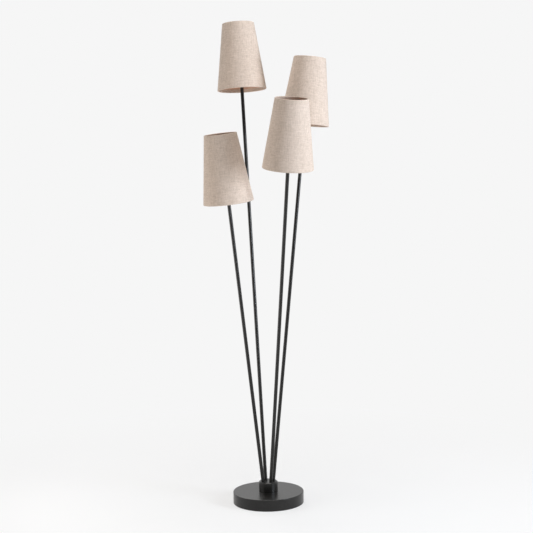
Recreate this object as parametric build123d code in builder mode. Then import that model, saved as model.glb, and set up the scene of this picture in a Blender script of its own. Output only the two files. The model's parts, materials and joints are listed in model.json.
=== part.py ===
from build123d import *
from math import asin, atan2, cos, degrees, radians, sin
import os

# Tree floor lamp: four slim steel rods lean out of one hub on a weighted round base, and each
# ends in a small lampholder with a tapered linen shade. Millimetres, +Z up, origin on the floor
# under the middle of the base. The lamp is seen from -Y.

# ---- Driving sizes ----------------------------------------------------------------------------

# Base: a pressed steel shell over a cast weight, closed below by a plate and a soft pad
base_diameter = 243.0
base_top = 40.0
base_edge_radius = 2.0
shell_wall = 1.2
shell_lift = 1.0  # lower edge of the shell above the floor
pad_thickness = 2.0
pad_inset = 7.0  # edge of the pad inside the edge of the shell
plate_thickness = 1.5
weight_thickness = 22.0
weight_edge_chamfer = 3.0
weight_side_gap = 0.5
plate_side_gap = 0.4

# Screws that hold the plate under the weight
plate_screw_count = 3
plate_screw_circle_diameter = 190.0
plate_screw_diameter = 4.0
plate_screw_head = 6.8
plate_screw_length = 9.0
plate_boss_diameter = 12.0

# Cable outlet in the back of the base
bush_bore = 6.6
bush_neck = 11.0
bush_flange = 15.0
bush_inner_flange = 12.8
bush_flange_thickness = 2.0
bush_length = 14.0

# Terminal block in the wiring space
block_length = 30.0
block_width = 18.0
block_height = 11.0
block_poles = 3
block_entry = 4.0
block_screw = 3.6
block_screw_depth = 5.5

# Hub
hub_diameter = 65.0
hub_height = 35.0
hub_chamfer = 3.0
chamber_diameter = 46.0
chamber_depth = 15.0

# Screws that hold the hub down on the weight
hub_screw_count = 3
hub_screw_circle_diameter = 55.5
hub_screw_diameter = 6.0
hub_screw_grip = 10.0
hub_screw_head = 10.0
hub_screw_head_height = 4.0
hub_screw_socket = 5.0
hub_screw_socket_depth = 2.0
hub_screw_turn = 28.0  # turned so that the screws miss the rods

# Arms: a quarter turn apart, each with its own lean from upright and its own reach, from the top
# of the hub along the rod to the lower rim of the shade
foot_circle_diameter = 40.0
arm_heading = 26.5
arm_turn = {"rear_right": 0, "rear_left": 90, "front_left": 180, "front_right": 270}
arm_lean = {"rear_right": 6.45, "rear_left": 5.75, "front_left": 6.55, "front_right": 8.35}
arm_reach = {"rear_right": 1228.0, "rear_left": 1350.0, "front_left": 974.0, "front_right": 1092.0}

# Rod and the flex inside it
rod_diameter = 12.0
rod_wall = 1.0
rod_grip = 18.0  # depth of the rod in the hub
flex_diameter = 6.4
flex_tail = 30.0  # flex below the end of the rod, hanging into the base

# Lampholder, measured along the rod from the lower rim of the shade
holder_base = 12.0
cap_diameter = 28.0
cap_height = 22.0
cap_neck_diameter = 16.0
cap_neck_height = 5.0
cap_shoulder_height = 9.0
cap_wall = 1.4
cap_floor = 10.0  # height of the cap's inner floor, and depth of the rod in the cap
skirt_height = 34.0
skirt_diameter = 28.0
skirt_wall = 2.0
skirt_flange_diameter = 38.0
skirt_flange_thickness = 3.0
skirt_mouth = 17.4
skirt_lip = 2.0
core_foot_height = 4.0  # length of the core inside the cap
core_boss_height = 8.0  # length of the core inside the skirt
contact_bore = 14.4
contact_wall = 0.5
contact_height = 18.0
contact_flange = 20.0
contact_button = 5.0
contact_button_height = 0.8
shade_nut_diameter = 39.0
shade_nut_height = 7.0
shade_nut_flange = 2.2
shade_nut_collar = 33.0
shade_nut_grips = 8
shade_nut_grip_radius = 3.0
shade_nut_grip_depth = 1.5

# Bulb: candle shape on a small screw cap
bulb_cap_diameter = 13.9
bulb_cap_height = 21.0
bulb_tip_diameter = 9.0
bulb_tip_height = 3.0
bulb_diameter = 35.0
bulb_neck_diameter = 13.0
bulb_height = 73.0
bulb_widest = 29.0
bulb_point_radius = 3.0
bulb_wall = 1.0

# Shade: a straight cone of laminated linen over two wire rings, its edges turned in round them
shade_top_diameter = 110.0
shade_bottom_diameter = 170.0
shade_height = 230.0
shade_wall = 0.8
ring_wire = 2.0
hem_wrap = 150.0  # how far each edge is turned in round its wire, in degrees past level
spider_wire = 2.0
spider_count = 3
spider_turn = 90.0
spider_shoulder = 58.0  # radius at which the spokes start to drop to the lower ring
spider_bend = 12.0
fitter_diameter = 46.0
fitter_thickness = 1.5

# Fits
screwed_gap = 0.05  # all round a thread or a pressed seat
turning_gap = 0.3  # all round a piece that can turn
face_gap = 0.1  # between faces that slide on each other
wire_gap = 0.25  # between a wire and the linen turned round it

# ---- Places worked out from the sizes ---------------------------------------------------------

base_radius = base_diameter / 2
pad_radius = base_radius - pad_inset
shell_inside = base_radius - shell_wall
shell_ceiling = base_top - shell_wall
weight_bottom = shell_ceiling - weight_thickness
plate_top = pad_thickness + plate_thickness
wiring_middle = (plate_top + weight_bottom) / 2
pole_pitch = block_length / block_poles
hub_top = base_top + hub_height
chamber_ceiling = base_top + chamber_depth

cap_top = holder_base + cap_height
skirt_bottom = cap_top + face_gap
flange_top = skirt_bottom + skirt_flange_thickness
skirt_top = skirt_bottom + skirt_height
core_top = skirt_bottom + core_boss_height
fitter_bottom = flange_top + face_gap
fitter_middle = fitter_bottom + fitter_thickness / 2
nut_bottom = fitter_bottom + fitter_thickness + face_gap
bulb_seat = core_top + contact_button_height + turning_gap
bulb_glass_bottom = bulb_seat + bulb_tip_height + bulb_cap_height

# Bulb: one arc from the neck to the belly, one up to the point, and a small round point
bulb_fullness = (bulb_diameter - bulb_neck_diameter) / 2
bulb_lower_radius = (bulb_fullness**2 + bulb_widest**2) / (2 * bulb_fullness)
bulb_lower_centre = (bulb_diameter / 2 - bulb_lower_radius, bulb_widest)
bulb_point_centre = (0, bulb_height - bulb_point_radius)
bulb_belly_to_point = bulb_point_centre[1] - bulb_widest
bulb_upper_radius = ((bulb_diameter / 2) ** 2 + bulb_belly_to_point**2 - bulb_point_radius**2) / (
    bulb_diameter - 2 * bulb_point_radius
)
bulb_upper_centre = (bulb_diameter / 2 - bulb_upper_radius, bulb_widest)
bulb_rise = degrees(atan2(bulb_belly_to_point, -bulb_upper_centre[0]))

# Shade: the wires stand inside the two turned edges
hem_inside = ring_wire / 2 + wire_gap
hem_outside = hem_inside + shade_wall
taper = (shade_bottom_diameter - shade_top_diameter) / 2 / shade_height
slope = degrees(atan2(taper, 1))
side_offset = hem_outside / cos(radians(slope))  # level distance from the cone to a wire's centre
lower_ring = (shade_bottom_diameter / 2 - taper * hem_outside - side_offset, hem_outside)
upper_ring = (
    shade_top_diameter / 2 + taper * hem_outside - side_offset,
    shade_height - hem_outside,
)


def arm_plane(arm, height):
    """Plane square to an arm, at a height along it from the top of the hub."""
    heading = radians(arm_heading + arm_turn[arm])
    lean = radians(arm_lean[arm])
    foot = Vector(cos(heading), sin(heading), 0) * (foot_circle_diameter / 2) + Vector(0, 0, hub_top)
    along = Vector(sin(lean) * cos(heading), sin(lean) * sin(heading), cos(lean))
    across = Vector(0, 1, 0).cross(along)
    return Plane(origin=foot, x_dir=across, z_dir=along).offset(height)


def rim_plane(arm, height=0.0):
    """Plane square to an arm, at a height above the lower rim of its shade."""
    return arm_plane(arm, arm_reach[arm] + height)


def section_of(plane, turn=0.0):
    """Plane through the axis of another plane: x is the radius and y the height."""
    outward = plane.x_dir * cos(radians(turn)) + plane.y_dir * sin(radians(turn))
    return Plane(origin=plane.origin, x_dir=outward, z_dir=outward.cross(plane.z_dir))


def axis_of(plane):
    """Axis of a plane."""
    return Axis(plane.origin, plane.z_dir)


def save(part, label):
    """Label a finished piece and write it to the parts folder."""
    part.label = label
    export_step(part, f"parts/{label}.step")


os.makedirs("parts", exist_ok=True)

# ---- Base -------------------------------------------------------------------------------------

# Pressed shell with a rounded upper edge, a wiring hole under the hub and a cable hole behind
with BuildPart() as base_cover:
    with BuildSketch(Plane.XY.offset(shell_lift)):
        Circle(base_radius)
    extrude(amount=base_top - shell_lift)
    fillet(base_cover.edges().group_by(Axis.Z)[-1], base_edge_radius)
    with BuildSketch(Plane.XY.offset(shell_lift)):
        Circle(shell_inside)
    extrude(amount=shell_ceiling - shell_lift, mode=Mode.SUBTRACT)
    with BuildSketch(Plane.XY.offset(base_top)):
        Circle(chamber_diameter / 2)
        with PolarLocations(hub_screw_circle_diameter / 2, hub_screw_count, hub_screw_turn):
            Circle(hub_screw_diameter / 2 + turning_gap)
    extrude(amount=-shell_wall, mode=Mode.SUBTRACT)
    with BuildSketch(Plane.XZ.offset(-base_radius)):
        with Locations((0, wiring_middle)):
            Circle(bush_neck / 2 + screwed_gap)
    extrude(amount=bush_length, mode=Mode.SUBTRACT)
save(base_cover.part, "base_cover")

# Cast weight with three bosses below that the plate is screwed to
with BuildPart() as base_weight:
    with BuildSketch(Plane.XY.offset(weight_bottom)):
        Circle(shell_inside - weight_side_gap)
    extrude(amount=weight_thickness)
    chamfer(base_weight.edges().group_by(Axis.Z)[-1], weight_edge_chamfer)
    with BuildSketch(Plane.XY.offset(plate_top)):
        with PolarLocations(plate_screw_circle_diameter / 2, plate_screw_count):
            Circle(plate_boss_diameter / 2)
    extrude(amount=weight_bottom - plate_top)
    with BuildSketch(Plane.XY.offset(weight_bottom)):
        Circle(chamber_diameter / 2)
        with PolarLocations(hub_screw_circle_diameter / 2, hub_screw_count, hub_screw_turn):
            Circle(hub_screw_diameter / 2 + turning_gap)
    extrude(amount=weight_thickness, mode=Mode.SUBTRACT)
    with BuildSketch(Plane.XY.offset(plate_top)):
        with PolarLocations(plate_screw_circle_diameter / 2, plate_screw_count):
            Circle(plate_screw_diameter / 2 + screwed_gap)
    extrude(amount=plate_screw_length, mode=Mode.SUBTRACT)
save(base_weight.part, "base_weight")

# Plate that closes the wiring space
with BuildPart() as base_plate:
    with BuildSketch(Plane.XY.offset(pad_thickness)):
        Circle(shell_inside - plate_side_gap)
    extrude(amount=plate_thickness)
    with Locations(Plane.XY.offset(pad_thickness).rotated((180, 0, 0))):
        with PolarLocations(plate_screw_circle_diameter / 2, plate_screw_count):
            CounterSinkHole(plate_screw_diameter / 2 + screwed_gap, plate_screw_head / 2 + screwed_gap)
save(base_plate.part, "base_plate")

# Countersunk screws of the plate
with BuildPart() as plate_screws:
    with BuildSketch(Plane.XY.offset(pad_thickness)):
        with PolarLocations(plate_screw_circle_diameter / 2, plate_screw_count):
            Circle(plate_screw_head / 2)
    extrude(amount=(plate_screw_head - plate_screw_diameter) / 2, taper=45)
    with BuildSketch(Plane.XY.offset(pad_thickness)):
        with PolarLocations(plate_screw_circle_diameter / 2, plate_screw_count):
            Circle(plate_screw_diameter / 2)
    extrude(amount=plate_screw_length)
save(plate_screws.part, "plate_screws")

# Felt pad that the lamp stands on
with BuildPart() as foot_pad:
    with BuildSketch(Plane.XY):
        Circle(pad_radius)
    extrude(amount=pad_thickness)
save(foot_pad.part, "foot_pad")

# Flanged bush that lines the cable hole
with BuildPart() as cable_bush:
    with BuildSketch(Plane.XZ.offset(-base_radius - bush_flange_thickness)):
        with Locations((0, wiring_middle)):
            Circle(bush_flange / 2)
    extrude(amount=bush_flange_thickness - screwed_gap)
    with BuildSketch(Plane.XZ.offset(-base_radius - bush_flange_thickness)):
        with Locations((0, wiring_middle)):
            Circle(bush_neck / 2)
    extrude(amount=bush_length)
    with BuildSketch(Plane.XZ.offset(-shell_inside + turning_gap)):
        with Locations((0, wiring_middle)):
            Circle(bush_inner_flange / 2)
    extrude(amount=bush_flange_thickness)
    with BuildSketch(Plane.XZ.offset(-base_radius - bush_flange_thickness)):
        with Locations((0, wiring_middle)):
            Circle(bush_bore / 2)
    extrude(amount=bush_length, mode=Mode.SUBTRACT)
save(cable_bush.part, "cable_bush")

# Terminal block on the plate, with an entry at each end of each pole and a screw well above
with BuildPart() as terminal_block:
    with BuildSketch(Plane.XY.offset(plate_top)):
        Rectangle(block_length, block_width)
    extrude(amount=block_height)
    with BuildSketch(Plane.XZ.offset(-block_width / 2)):
        with Locations((0, plate_top + block_height / 2)):
            with GridLocations(pole_pitch, 0, block_poles, 1):
                Circle(block_entry / 2)
    extrude(amount=block_width, mode=Mode.SUBTRACT)
    with BuildSketch(Plane.XY.offset(plate_top + block_height)):
        with GridLocations(pole_pitch, block_width / 2, block_poles, 2):
            Circle(block_screw / 2)
    extrude(amount=-block_screw_depth, mode=Mode.SUBTRACT)
save(terminal_block.part, "terminal_block")

# ---- Hub --------------------------------------------------------------------------------------

# Turned hub: four slanting bores for the rods run into a wiring chamber that is open below
with BuildPart() as hub:
    with BuildSketch(Plane.XY.offset(base_top)):
        Circle(hub_diameter / 2)
    extrude(amount=hub_height)
    chamfer(hub.edges().group_by(Axis.Z)[-1], hub_chamfer)
    with BuildSketch(Plane.XY.offset(base_top)):
        Circle(chamber_diameter / 2)
    extrude(amount=chamber_depth, mode=Mode.SUBTRACT)
    with BuildSketch(Plane.XY.offset(base_top)):
        with PolarLocations(hub_screw_circle_diameter / 2, hub_screw_count, hub_screw_turn):
            Circle(hub_screw_diameter / 2 + screwed_gap)
    extrude(amount=hub_screw_grip + turning_gap, mode=Mode.SUBTRACT)
    for arm in arm_turn:
        with BuildSketch(arm_plane(arm, -hub_height)):
            Circle(rod_diameter / 2 + screwed_gap)
        extrude(amount=hub_height + rod_diameter, mode=Mode.SUBTRACT)
save(hub.part, "hub")

# Socket-head screws up through the weight and the shell into the hub
with BuildPart() as hub_screws:
    with BuildSketch(Plane.XY.offset(weight_bottom)):
        with PolarLocations(hub_screw_circle_diameter / 2, hub_screw_count, hub_screw_turn):
            Circle(hub_screw_head / 2)
    extrude(amount=-hub_screw_head_height)
    with BuildSketch(Plane.XY.offset(weight_bottom)):
        with PolarLocations(hub_screw_circle_diameter / 2, hub_screw_count, hub_screw_turn):
            Circle(hub_screw_diameter / 2)
    extrude(amount=base_top + hub_screw_grip - weight_bottom)
    with BuildSketch(Plane.XY.offset(weight_bottom - hub_screw_head_height)):
        with PolarLocations(hub_screw_circle_diameter / 2, hub_screw_count, hub_screw_turn):
            RegularPolygon(hub_screw_socket / 2, 6, major_radius=False)
    extrude(amount=hub_screw_socket_depth, mode=Mode.SUBTRACT)
save(hub_screws.part, "hub_screws")

# ---- Arms -------------------------------------------------------------------------------------


def make_rod(arm):
    """Steel tube, screwed into the hub below and into the lampholder's cap above."""
    with BuildPart() as rod:
        with BuildSketch(arm_plane(arm, -rod_grip)):
            Circle(rod_diameter / 2)
            Circle(rod_diameter / 2 - rod_wall, mode=Mode.SUBTRACT)
        extrude(amount=rod_grip + arm_reach[arm] + holder_base + cap_floor)
    save(rod.part, f"rod_{arm}")


def make_flex(arm):
    """Flex from the wiring space up through the rod to the core of the lampholder."""
    core_bottom = skirt_bottom - core_foot_height
    with BuildPart() as flex:
        with BuildSketch(arm_plane(arm, -rod_grip - flex_tail)):
            Circle(flex_diameter / 2)
        extrude(amount=rod_grip + flex_tail + arm_reach[arm] + core_bottom)
    save(flex.part, f"flex_{arm}")


def make_holder_cap(arm):
    """Cap of the lampholder: a threaded neck, a sloping shoulder and a round cup."""
    plane = rim_plane(arm, holder_base)
    bore = rod_diameter / 2 + screwed_gap
    outside = cap_diameter / 2
    with BuildPart() as holder_cap:
        with BuildSketch(section_of(plane)):
            with BuildLine():
                Polyline(
                    (bore, 0),
                    (cap_neck_diameter / 2, 0),
                    (cap_neck_diameter / 2, cap_neck_height),
                    (outside, cap_shoulder_height),
                    (outside, cap_height),
                    (outside - cap_wall, cap_height),
                    (outside - cap_wall, cap_floor),
                    (bore, cap_floor),
                    close=True,
                )
            make_face()
        revolve(axis=axis_of(plane))
    save(holder_cap.part, f"holder_cap_{arm}")


def make_holder_core(arm):
    """Core of the lampholder: it stands in the cap and carries the contacts in the skirt."""
    with BuildPart() as holder_core:
        with BuildSketch(rim_plane(arm, skirt_bottom - core_foot_height)):
            Circle(cap_diameter / 2 - cap_wall - screwed_gap)
        extrude(amount=core_foot_height)
        with BuildSketch(rim_plane(arm, skirt_bottom)):
            Circle(skirt_diameter / 2 - skirt_wall - screwed_gap)
        extrude(amount=core_boss_height)
    save(holder_core.part, f"holder_core_{arm}")


def make_holder_skirt(arm):
    """Threaded skirt with the flange that the shade rests on and a lip round its mouth."""
    with BuildPart() as holder_skirt:
        with BuildSketch(rim_plane(arm, skirt_bottom)):
            Circle(skirt_flange_diameter / 2)
        extrude(amount=skirt_flange_thickness)
        with BuildSketch(rim_plane(arm, skirt_bottom)):
            Circle(skirt_diameter / 2)
        extrude(amount=skirt_height)
        with BuildSketch(rim_plane(arm, skirt_bottom)):
            Circle(skirt_diameter / 2 - skirt_wall)
        extrude(amount=skirt_height - skirt_lip, mode=Mode.SUBTRACT)
        with BuildSketch(rim_plane(arm, skirt_top)):
            Circle(skirt_mouth / 2)
        extrude(amount=-skirt_lip, mode=Mode.SUBTRACT)
    save(holder_skirt.part, f"holder_skirt_{arm}")


def make_contacts(arm):
    """Brass contacts on the core: a screw shell on a flange, and a centre button."""
    plane = rim_plane(arm, core_top)
    inside = contact_bore / 2
    with BuildPart() as contacts:
        with BuildSketch(section_of(plane)):
            with BuildLine():
                Polyline(
                    (inside, 0),
                    (contact_flange / 2, 0),
                    (contact_flange / 2, contact_wall),
                    (inside + contact_wall, contact_wall),
                    (inside + contact_wall, contact_height),
                    (inside, contact_height),
                    close=True,
                )
            make_face()
        revolve(axis=axis_of(plane))
        with BuildSketch(plane):
            Circle(contact_button / 2)
        extrude(amount=contact_button_height)
    save(contacts.part, f"contacts_{arm}")


def make_shade_nut(arm):
    """Ring that screws down the skirt onto the shade's fitter, with finger notches round it."""
    grip_circle_radius = shade_nut_diameter / 2 + shade_nut_grip_radius - shade_nut_grip_depth
    with BuildPart() as shade_nut:
        with BuildSketch(rim_plane(arm, nut_bottom)):
            Circle(shade_nut_diameter / 2)
            with PolarLocations(grip_circle_radius, shade_nut_grips):
                Circle(shade_nut_grip_radius, mode=Mode.SUBTRACT)
        extrude(amount=shade_nut_flange)
        with BuildSketch(rim_plane(arm, nut_bottom)):
            Circle(shade_nut_collar / 2)
        extrude(amount=shade_nut_height)
        with BuildSketch(rim_plane(arm, nut_bottom)):
            Circle(skirt_diameter / 2 + screwed_gap)
        extrude(amount=shade_nut_height, mode=Mode.SUBTRACT)
    save(shade_nut.part, f"shade_nut_{arm}")


def make_bulb_cap(arm):
    """Screw cap of the bulb, with its insulated tip."""
    with BuildPart() as bulb_cap:
        with BuildSketch(rim_plane(arm, bulb_seat)):
            Circle(bulb_tip_diameter / 2)
        extrude(amount=bulb_tip_height)
        with BuildSketch(rim_plane(arm, bulb_seat + bulb_tip_height)):
            Circle(bulb_cap_diameter / 2)
        extrude(amount=bulb_cap_height)
    save(bulb_cap.part, f"bulb_cap_{arm}")


def make_bulb(arm):
    """Hollow candle bulb: a narrow neck, a full belly and a drawn-out tip."""
    plane = rim_plane(arm, bulb_glass_bottom)
    with BuildPart() as bulb:
        for inset, mode in ((0, Mode.ADD), (bulb_wall, Mode.SUBTRACT)):
            fall = degrees(asin(bulb_widest / (bulb_lower_radius - inset)))
            with BuildSketch(section_of(plane)):
                with BuildLine():
                    lower = CenterArc(bulb_lower_centre, bulb_lower_radius - inset, -fall, fall)
                    CenterArc(bulb_upper_centre, bulb_upper_radius - inset, 0, bulb_rise)
                    point = CenterArc(
                        bulb_point_centre, bulb_point_radius - inset, bulb_rise, 90 - bulb_rise
                    )
                    Polyline(point @ 1, (0, 0), lower @ 0)
                make_face()
            revolve(axis=axis_of(plane), mode=mode)
    save(bulb.part, f"bulb_{arm}")


def make_shade_frame(arm):
    """Lower wire ring, three spokes and the flat fitter that sits on the lampholder."""
    plane = rim_plane(arm)
    with BuildPart() as shade_frame:
        with BuildSketch(section_of(plane)):
            with Locations(lower_ring):
                Circle(ring_wire / 2)
        revolve(axis=axis_of(plane))
        with BuildSketch(rim_plane(arm, fitter_bottom)):
            Circle(fitter_diameter / 2)
        extrude(amount=fitter_thickness)
        for spoke in range(spider_count):
            turn = spider_turn + spoke * 360 / spider_count
            with BuildLine(section_of(plane, turn)):
                path = FilletPolyline(
                    (fitter_diameter / 2 - spider_wire, fitter_middle),
                    (spider_shoulder, fitter_middle),
                    lower_ring,
                    radius=spider_bend,
                )
            with BuildSketch(Plane(origin=path @ 0, z_dir=path % 0)):
                Circle(spider_wire / 2)
            sweep(path=path)
        with BuildSketch(rim_plane(arm, fitter_bottom - spider_wire)):
            Circle(skirt_diameter / 2 + turning_gap)
        extrude(amount=fitter_thickness + 2 * spider_wire, mode=Mode.SUBTRACT)
    save(shade_frame.part, f"shade_frame_{arm}")


def make_shade_ring(arm):
    """Upper wire ring."""
    plane = rim_plane(arm)
    with BuildPart() as shade_ring:
        with BuildSketch(section_of(plane)):
            with Locations(upper_ring):
                Circle(ring_wire / 2)
        revolve(axis=axis_of(plane))
    save(shade_ring.part, f"shade_ring_{arm}")


def on_circle(centre, radius, turn):
    """Point on a circle, at an angle from its x direction."""
    return (centre[0] + radius * cos(radians(turn)), centre[1] + radius * sin(radians(turn)))


def make_shade(arm):
    """Linen cone whose two edges are turned in round the wire rings."""
    plane = rim_plane(arm)
    with BuildPart() as shade:
        with BuildSketch(section_of(plane)):
            with BuildLine():
                Line(on_circle(lower_ring, hem_outside, slope), on_circle(upper_ring, hem_outside, slope))
                CenterArc(upper_ring, hem_outside, slope, hem_wrap - slope)
                Line(
                    on_circle(upper_ring, hem_outside, hem_wrap),
                    on_circle(upper_ring, hem_inside, hem_wrap),
                )
                CenterArc(upper_ring, hem_inside, hem_wrap, slope - hem_wrap)
                Line(on_circle(upper_ring, hem_inside, slope), on_circle(lower_ring, hem_inside, slope))
                CenterArc(lower_ring, hem_inside, slope, -hem_wrap - slope)
                Line(
                    on_circle(lower_ring, hem_inside, -hem_wrap),
                    on_circle(lower_ring, hem_outside, -hem_wrap),
                )
                CenterArc(lower_ring, hem_outside, -hem_wrap, hem_wrap + slope)
            make_face()
        revolve(axis=axis_of(plane))
    save(shade.part, f"shade_{arm}")


for arm in arm_turn:
    make_rod(arm)
    make_flex(arm)
    make_holder_cap(arm)
    make_holder_core(arm)
    make_holder_skirt(arm)
    make_contacts(arm)
    make_shade_nut(arm)
    make_bulb_cap(arm)
    make_bulb(arm)
    make_shade_frame(arm)
    make_shade_ring(arm)
    make_shade(arm)
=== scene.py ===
import json
from math import asin, atan2, ceil, cos, degrees, hypot, pi, radians, sin, sqrt, tau

import bmesh
import bpy
from mathutils import Matrix, Vector, noise


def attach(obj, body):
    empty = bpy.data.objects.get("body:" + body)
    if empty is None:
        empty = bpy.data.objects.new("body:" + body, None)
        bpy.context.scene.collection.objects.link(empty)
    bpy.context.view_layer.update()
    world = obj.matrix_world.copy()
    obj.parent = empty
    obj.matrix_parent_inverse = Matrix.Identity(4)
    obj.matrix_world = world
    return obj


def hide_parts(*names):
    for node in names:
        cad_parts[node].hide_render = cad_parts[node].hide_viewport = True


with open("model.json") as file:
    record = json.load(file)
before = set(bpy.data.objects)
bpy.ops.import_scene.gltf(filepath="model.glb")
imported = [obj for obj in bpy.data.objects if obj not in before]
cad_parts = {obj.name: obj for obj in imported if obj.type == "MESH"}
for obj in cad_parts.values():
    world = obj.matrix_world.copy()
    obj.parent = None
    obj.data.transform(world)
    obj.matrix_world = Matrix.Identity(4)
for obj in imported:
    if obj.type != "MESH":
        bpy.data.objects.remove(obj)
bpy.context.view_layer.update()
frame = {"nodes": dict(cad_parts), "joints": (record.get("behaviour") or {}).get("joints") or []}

# Tree floor lamp: the looks of four slim black arms on a round base, each with a tapered linen
# shade. Sizes are in millimetres, in each piece's own frame, and become metres in the meshes.

MM = 0.001
ARMS = ("rear_right", "rear_left", "front_left", "front_right")
UPRIGHT = Matrix.Identity(4)

# ---- Sizes, as the solids have them -----------------------------------------------------------

base_radius = 121.5
base_top = 40.0
base_edge_radius = 2.0
shell_wall = 1.2
shell_lift = 1.0
pad_radius = 114.5
pad_thickness = 2.0
chamber_radius = 23.0
chamber_depth = 15.0
hub_radius = 32.5
hub_height = 35.0
hub_chamfer = 3.0
hub_screw_count = 3
hub_screw_radius = 3.05
hub_screw_circle_radius = 27.75
hub_screw_depth = 10.3
hub_screw_turn = 28.0
turned_edge = 0.35  # broken edge that the lathe leaves
shell_lip = 0.5  # rounding of the shell's lower lip
hub_top = base_top + hub_height

bush_height = 10.15
bush_bore = 3.3
bush_neck = 5.5
bush_flange = 7.5
bush_inner_flange = 6.4
bush_flange_thickness = 2.0
bush_slack = 0.3  # between the barbs and the wall
bush_length = 14.0

rod_radius = 6.0
rod_wall = 1.0
rod_grip = 18.0
rod_bore = 6.05  # bore that the rod is screwed into

holder_base = 12.0
cap_radius = 14.0
cap_height = 22.0
cap_neck_radius = 8.0
cap_neck_height = 5.0
cap_shoulder_height = 9.0
cap_wall = 1.4
cap_floor = 10.0
skirt_bottom = 34.1
skirt_height = 34.0
skirt_radius = 14.0
skirt_wall = 2.0
skirt_flange_radius = 19.0
skirt_flange_thickness = 3.0
skirt_mouth = 8.7
skirt_lip = 2.0
skirt_thread_pitch = 2.0
skirt_thread_depth = 0.5
nut_bottom = 38.8
nut_radius = 19.5
nut_height = 7.0
nut_flange = 2.2
nut_collar = 16.5
nut_grips = 8
nut_grip_radius = 3.0
nut_grip_depth = 1.5

bulb_seat = 43.2
bulb_tip_radius = 4.5
bulb_solder_height = 1.0
bulb_tip_height = 3.0
bulb_cap_radius = 6.95
bulb_cap_height = 21.0
bulb_thread_pitch = 2.82
bulb_thread_depth = 0.55
bulb_radius = 17.5
bulb_neck_radius = 6.5
bulb_height = 73.0
bulb_widest = 29.0
bulb_point_radius = 3.0
bulb_wall = 1.0

shade_top_radius = 55.0
shade_bottom_radius = 85.0
shade_height = 230.0
shade_wall = 0.8
wire_radius = 1.0
wire_gap = 0.25
fitter_radius = 23.0
fitter_hole = 14.3
fitter_bottom = 37.2
fitter_thickness = 1.5
spoke_shoulder = 58.0
spoke_bend = 12.0
spoke_turns = (90.0, 210.0, 330.0)
hem_depth = 10.0  # how far the turned-in edge reaches along the inside of the shade
hem_step = 0.5  # thickness of the linen at that edge
hem_round = 0.25  # how far its cut edge is rounded
hem_corner = 0.3  # how far past that edge its rounded corner lies
backing_start = 0.35  # how far past it the backing begins
seam_turn = pi / 2
seam_width = 10.0
seam_lift = 0.45
seam_step_turn = 0.004  # turn in radians that the seam's cut edge takes to fall
linen_swell = 0.12  # how far the linen waves in and out

bore_slack = 0.05  # round a piece that sits in a hole
cut_past = 5.0  # how far a hole's tool reaches past a wall
felt_fray = 0.25  # how far the cut edge of the felt wavers

bulb_glass_bottom = bulb_seat + bulb_tip_height + bulb_cap_height
fitter_middle = fitter_bottom + fitter_thickness / 2
taper = (shade_bottom_radius - shade_top_radius) / shade_height
slope = atan2(taper, 1)
fold_inside = wire_radius + wire_gap
fold_outside = fold_inside + shade_wall
lower_ring = (shade_bottom_radius - taper * fold_outside - fold_outside / cos(slope), fold_outside)
upper_ring = (
    shade_top_radius + taper * fold_outside - fold_outside / cos(slope),
    shade_height - fold_outside,
)


# ---- Mesh tools -------------------------------------------------------------------------------

rounding_share = 0.48  # most of a side that one rounding takes
rounding_step = 15.0  # degrees between the points of a rounding
weld_distance = 1e-7  # metres within which points become one


def rounded(corners, closed=True):
    """Outline through (radius, height, rounding) corners, with an arc at each rounding."""
    outline = []
    count = len(corners)
    for index, (x, y, rounding) in enumerate(corners):
        here = Vector((x, y))
        if not rounding or (not closed and index in (0, count - 1)):
            outline.append(here)
            continue
        back = Vector(corners[index - 1][:2]) - here
        ahead = Vector(corners[(index + 1) % count][:2]) - here
        half = back.angle(ahead) / 2
        longest = rounding_share * min(back.length, ahead.length)
        reach = min(rounding * cos(half) / sin(half), longest)
        radius = reach * sin(half) / cos(half)
        inward = (back.normalized() + ahead.normalized()).normalized()
        middle = here + inward * hypot(reach, radius)
        start = (here + back.normalized() * reach - middle).normalized()
        end = (here + ahead.normalized() * reach - middle).normalized()
        steps = max(2, ceil(degrees(start.angle(end)) / rounding_step))
        for step in range(steps + 1):
            outline.append(middle + start.slerp(end, step / steps) * radius)
    return outline


def divided(outline, step, closed=True):
    """The same outline with no stretch longer than a step."""
    fine = []
    pairs = list(zip(outline, outline[1:] + outline[:1]))
    for a, b in pairs if closed else pairs[:-1]:
        parts = max(1, ceil((b - a).length / step))
        fine += [a.lerp(b, part / parts) for part in range(parts)]
    return fine if closed else fine + [outline[-1]]


def arc(centre, radius, start, end, steps):
    """Points on an arc, its angles in degrees."""
    turns = [radians(start + (end - start) * step / steps) for step in range(steps + 1)]
    return [Vector((centre[0] + radius * cos(t), centre[1] + radius * sin(t))) for t in turns]


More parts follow.
